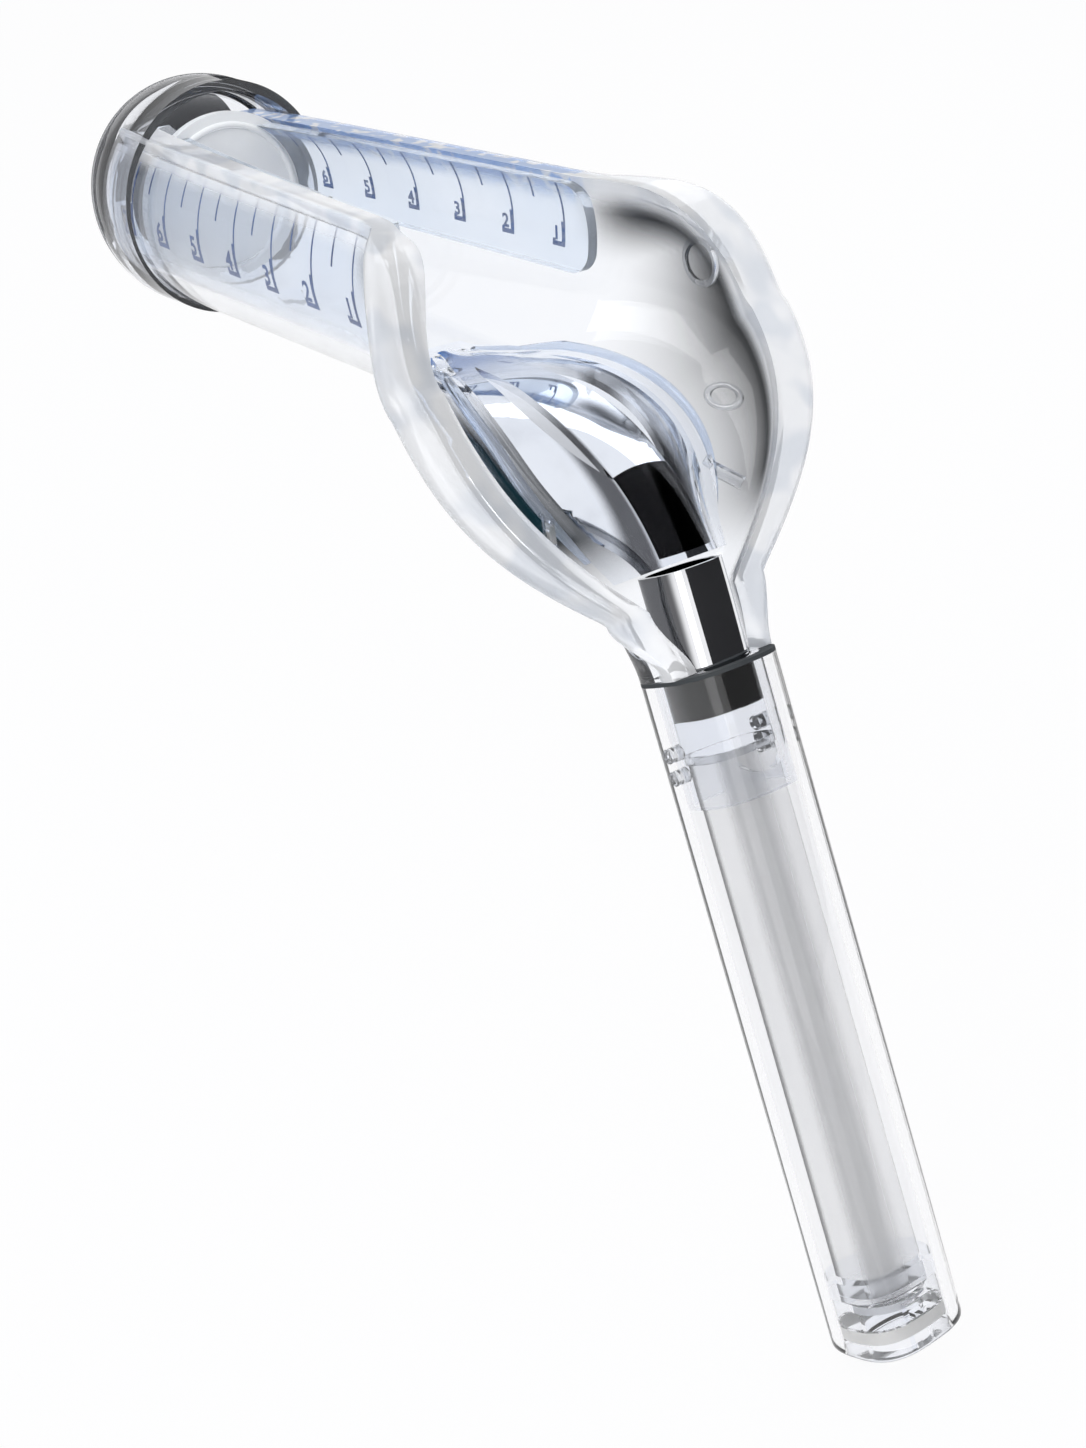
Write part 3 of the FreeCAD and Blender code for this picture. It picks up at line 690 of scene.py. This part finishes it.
def bar(mesh, start, end, width):
    """Adds a thin bar between two points of the flat drawing, divided along its length."""
    made = bmesh.ops.create_cube(mesh, size=1.0)["verts"]
    run = Vector((end[0] - start[0], end[1] - start[1], 0))
    turn = Matrix.Rotation(math.atan2(run.y, run.x), 4, "Z")
    middle = Vector(((start[0] + end[0]) / 2, (start[1] + end[1]) / 2, 0.5))
    shape = Matrix.Translation(middle) @ turn @ Matrix.Diagonal((run.length, width, 1.0, 1.0))
    bmesh.ops.transform(mesh, matrix=shape, verts=made)
    long_edges = [edge for edge in {edge for vert in made for edge in vert.link_edges}
                  if abs(edge.calc_length() - run.length) < 1e-4]
    bmesh.ops.subdivide_edges(mesh, edges=long_edges, cuts=max(int(run.length / 0.8), 1),
                              use_grid_fill=True)


def tick_marks(side, top, bottom, minor_bottom, hook):
    """One arm's lines: a bracketed line each centimetre and a short line between them."""
    line_width = 0.3
    mesh = bmesh.new()
    for step in range(2 * mark_count - 1):
        x = first_mark + step * mark_step / 2
        if step % 2:
            bar(mesh, (x, top), (x - 0.5, minor_bottom), line_width)
            continue
        lean_x = x - mark_lean
        bar(mesh, (x, top), (lean_x, bottom), line_width)
        end_x = lean_x - hook * 0.8
        bar(mesh, (lean_x, bottom + hook * 1.3), (lean_x, bottom), 0.62)
        bar(mesh, (lean_x + 0.3, bottom), (end_x, bottom), 0.6)
        bar(mesh, (end_x, bottom - 0.3), (end_x, bottom + 0.6), 0.5)
    return laid_on_arm(mesh, side)


def digit_marks(side, bottom, size, boldness=0.07):
    """One arm's numbers, beside the brackets."""
    mesh = bmesh.new()
    for step in range(mark_count):
        text = bpy.data.curves.new("digit", "FONT")
        text.body = str(mark_count - step)
        text.size = size
        text.extrude = 0.5
        text.offset = boldness
        text.resolution_u = 3
        holder = bpy.data.objects.new("digit", text)
        bpy.context.scene.collection.objects.link(holder)
        bpy.context.view_layer.update()
        graph = bpy.context.evaluated_depsgraph_get()
        flat = bpy.data.meshes.new_from_object(holder.evaluated_get(graph))
        left = first_mark + step * mark_step - mark_lean - size * 0.78
        flat.transform(Matrix.Translation((left, bottom + 0.5, 0.5)))
        mesh.from_mesh(flat)
        bpy.data.objects.remove(holder)
    return laid_on_arm(mesh, side)


for name, side, top, bottom, minor_bottom, size in (
        ("near", -1, 8.3, -2.8, 3.0, 3.3), ("far", 1, 9.0, 0.6, 6.2, 2.5)):
    for kind, mesh in (("lines", tick_marks(side, top, bottom, minor_bottom, size * 0.9)),
                       ("numbers", digit_marks(side, bottom, size))):
        bmesh.ops.remove_doubles(mesh, verts=mesh.verts, dist=1e-7)
        bmesh.ops.recalc_face_normals(mesh, faces=mesh.faces)
        piece("scale_%s_%s" % (kind, name), mesh, navy_ink, "scale_slide")


# Moulded bosses on the bell's walls, and the bead round the reflector's cover


def wall_boss(radius, width, stretch, proud, steps=8):
    """Round moulded ring with a rounded top; its axis is Z until it is placed."""
    mesh = bmesh.new()
    corners = []
    for i in range(steps + 1):
        angle = math.pi * i / steps
        corners.append(mesh.verts.new(((radius - width / 2 + width / 2 * math.cos(angle)) * MM, 0,
                                       proud * math.sin(angle) * MM)))
    edges = [mesh.edges.new(pair) for pair in zip(corners, corners[1:] + corners[:1])]
    bmesh.ops.spin(mesh, geom=corners + edges, cent=(0, 0, 0), axis=(0, 0, 1),
                   angle=2 * math.pi, steps=64, use_merge=True)
    bmesh.ops.remove_doubles(mesh, verts=mesh.verts, dist=1e-7)
    bmesh.ops.scale(mesh, vec=(stretch, 1.0, 1.0), verts=mesh.verts)
    return mesh


def on_inner_wall(mesh, turn, height, side, roll):
    """Places a boss, turned about its own axis, on the bell's inner wall."""
    station = bell_station(turn)
    lean_in = (station.side_at(height + 0.5, wall) - station.side_at(height - 0.5, wall))
    out = Vector((0, side, 0)) - station.up * lean_in
    inward = -out.normalized()
    along = station.up.cross(inward).normalized()
    frame_turn = Matrix((along, inward.cross(along), inward)).transposed().to_4x4()
    base = station.point(side * station.side_at(height, wall), height) * MM
    bmesh.ops.transform(mesh, matrix=Matrix.Translation(base) @ frame_turn
                        @ Matrix.Rotation(math.radians(roll), 4, "Z"), verts=mesh.verts)
    bmesh.ops.recalc_face_normals(mesh, faces=mesh.faces)
    return mesh


round_boss = wall_boss(radius=3.2, width=1.0, stretch=1.0, proud=0.45)
piece("port_boss", on_inner_wall(round_boss, turn=14.4, height=17.3, side=1, roll=0), clear_boss,
      "speculum", ["port_plug"], 60.0)
for name, side in (("far", 1), ("near", -1)):
    oval = wall_boss(radius=1.8, width=0.7, stretch=1.4, proud=0.35)
    piece("oval_boss_" + name, on_inner_wall(oval, turn=32.0, height=7.0, side=side, roll=35),
          clear_boss, "speculum", sharp=60.0)

# The reflector's leaf and its cover, as the solids have them
leaf_tip_x, leaf_end_turn = -33.5, 60.0
leaf_tip_height, leaf_end_height = 3.6, 11.0
leaf_widest, leaf_half_width, leaf_end_half_width, leaf_tip_half_width = 0.65, 10.8, 4.8, 0.8
cover_margin, bead_margin = 2.2, 0.85


def cover_edge_point(share):
    """Place on the wall beside the cover's edge, at a share of the reflector's length."""
    flat = bend_x - leaf_tip_x
    mean_radius = bend_radius + (leaf_tip_height + leaf_end_height) / 2
    along = share * (flat + math.radians(leaf_end_turn) * mean_radius)
    station = (barrel_station(leaf_tip_x + along) if along < flat
               else bell_station(math.degrees((along - flat) / mean_radius)))
    if share < leaf_widest:
        width = leaf_half_width * math.sin(math.pi / 2 * share / leaf_widest)
        width = max(width, leaf_tip_half_width)
    else:
        closing = math.cos(math.pi / 2 * (share - leaf_widest) / (1 - leaf_widest))
        width = leaf_end_half_width + (leaf_half_width - leaf_end_half_width) * closing
    side = width + cover_margin + bead_margin
    return station, side, station.floor_height(side, station.wall)


def cover_bead(side, radius=0.8, start=0.03, length=0.9):
    """Clear rounded bead that follows one edge of the cover along the wall."""

    def place(along, around):
        share = start + length * along
        station, reach, floor = cover_edge_point(share)
        angle = 2 * math.pi * around
        thin = radius * (0.35 + 0.65 * math.sin(math.pi * min(max(along, 0.02), 0.98)) ** 0.5)
        slope = (station.floor_height(reach + 0.5, station.wall)
                 - station.floor_height(reach - 0.5, station.wall))
        out = (Vector((0, -side * slope, 0)) + station.up).normalized()
        across = (Vector((0, 1, 0)) + station.up * side * slope).normalized()
        centre = station.point(side * reach, floor) + out * (thin + 0.05)
        return centre + across * thin * math.cos(angle) + out * thin * math.sin(angle)

    return closed(mapped_grid(90, 20, place))


for name, side in (("far", 1), ("near", -1)):
    piece("cover_bead_" + name, cover_bead(side), clear_bead, "speculum",
          sharp=60.0)

for node, material in {
        "nose_bulb": clear_nose, "graduated_slide": clear_scale, "end_disc": smoked_disc,
        "disc_ring": bright_wire, "slide_stop": clear_fitting, "reflector_blade": chrome,
        "reflector_cover": clear_cover, "reflector_shank": chrome,
        "reflector_clips": clear_boss, "port_plug": clear_fitting,
        "collar_seal": dark_seal, "retaining_studs": clear_boss,
        "guide_lens": clear_fitting, "guide_ferrule": bright_wire,
        "light_guide_rod": pale_guide, "guide_seat": clear_fitting,
        "socket_insert": clear_fitting, "insert_band": white_band,
        "socket_seal": pale_seal, "speculum_body": clear_shell,
        "handle_tube": clear_grip}.items():
    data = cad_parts[node].data
    data.materials.clear()
    data.materials.append(material)


# Stage: floor, backdrop, cards, lamps and the camera


def stage_card(name, corners, material):
    """Flat card of the set."""
    mesh = bmesh.new()
    mesh.faces.new([mesh.verts.new(corner) for corner in corners])
    data = bpy.data.meshes.new(name)
    mesh.to_mesh(data)
    mesh.free()
    data.materials.append(material)
    made = bpy.data.objects.new(name, data)
    bpy.context.scene.collection.objects.link(made)


def pale_floor():
    """White to the camera, to mirrors and through clear plastic; it still takes the shadow."""
    shader = Shader("pale_floor")
    plain = shader.principled(Base_Color=rgb(0.82, 0.83, 0.84), Roughness=0.9)
    glow = shader.node("Emission", None, {"Color": rgb(0.995, 0.995, 1.0), "Strength": 1.0})
    seen = shader.ray_is("Camera", "Glossy", "Transmission")
    return shader.surface(shader.mixed(seen * 0.95, plain, glow))


floor_z = cad_box[0][2] - 0.001
stage_card("floor", [(x, y, floor_z) for x, y in ((-3, -3), (3, -3), (3, 3), (-3, 3))],
           pale_floor())

def mirror_only_black():
    """Black to mirrors and through clear plastic, and clear to everything else."""
    shader = Shader("mirror_only_black")
    black = shader.principled(Base_Color=rgb(0.01, 0.01, 0.012), Roughness=0.9)
    gone = shader.node("BsdfTransparent")
    return shader.surface(shader.mixed(shader.ray_is("Glossy", "Transmission"), gone, black))


flag_black = mirror_only_black()


def black_flag(name, place, aim, width, height):
    """Black card that stands at a place and faces a point."""
    facing = (Vector(aim) - Vector(place)).normalized()
    across = facing.cross(Vector((0, 0, 1))).normalized() * width / 2
    up = across.normalized().cross(facing) * height / 2
    centre = Vector(place)
    stage_card(name, [centre - across - up, centre + across - up, centre + across + up,
                      centre - across + up], flag_black)


black_flag("left_flag", (-0.3, 0.04, -0.02), (-0.1, 0, -0.02), 0.17, 0.12)
black_flag("right_flag", (0.3, 0.33, 0.2), (0.01, 0, -0.02), 0.75, 0.6)


def lamp(name, place, aim, size, power_watts):
    """Soft rectangular lamp that faces a point."""
    light = bpy.data.lights.new(name, "AREA")
    light.shape = "RECTANGLE"
    light.size, light.size_y = size
    light.energy = power_watts
    made = bpy.data.objects.new(name, light)
    made.location = place
    made.rotation_euler = (Vector(aim) - Vector(place)).to_track_quat("-Z", "Y").to_euler()
    bpy.context.scene.collection.objects.link(made)


centre = (-0.02, 0, -0.04)
lamp("key_lamp", (0.1, -0.5, 0.6), centre, (0.4, 0.4), 2.2)
lamp("back_lamp", (-0.3, 0.6, 0.5), centre, (0.6, 0.6), 1.0)
lamp("side_lamp", (0.6, -0.2, 0.2), centre, (0.3, 0.6), 0.6)


def studio_world(light_level):
    """Near-white surroundings that light matt surfaces at a lower level than they show."""
    shader = Shader("studio", "World")
    seen = shader.ray_is("Camera", "Glossy", "Transmission")
    strength = shader.node("MapRange", None, {"Value": seen, "To Min": light_level})
    return shader.surface(shader.node("Background", None, {
        "Color": rgb(0.985, 0.985, 0.99), "Strength": strength}))


bpy.context.scene.world = studio_world(0.8)

# The camera stands where the photo was taken from
azimuth, elevation, roll = math.radians(53.3), math.radians(27.34), math.radians(-2.69)
look_at, camera_distance = (-15.854, 0, -57.611), 271.06
focal_pixels, photo_height, film_height = 2074.5, 1448, 36
back = Vector((math.sin(azimuth) * math.cos(elevation), -math.cos(azimuth) * math.cos(elevation),
               math.sin(elevation)))
right = Vector((math.cos(azimuth), math.sin(azimuth), 0))
level_up = back.cross(right)
across = right * math.cos(roll) + level_up * math.sin(roll)
upward = level_up * math.cos(roll) - right * math.sin(roll)
eye = (Vector(look_at) + back * camera_distance) * MM
camera = bpy.data.objects.new("camera", bpy.data.cameras.new("camera"))
camera.data.lens = focal_pixels / photo_height * film_height
camera.data.clip_start = 0.01
camera.matrix_world = Matrix((across, upward, back)).transposed().to_4x4()
camera.location = eye
bpy.context.scene.collection.objects.link(camera)
bpy.context.scene.camera = camera
bpy.context.scene.view_settings.view_transform = "Standard"
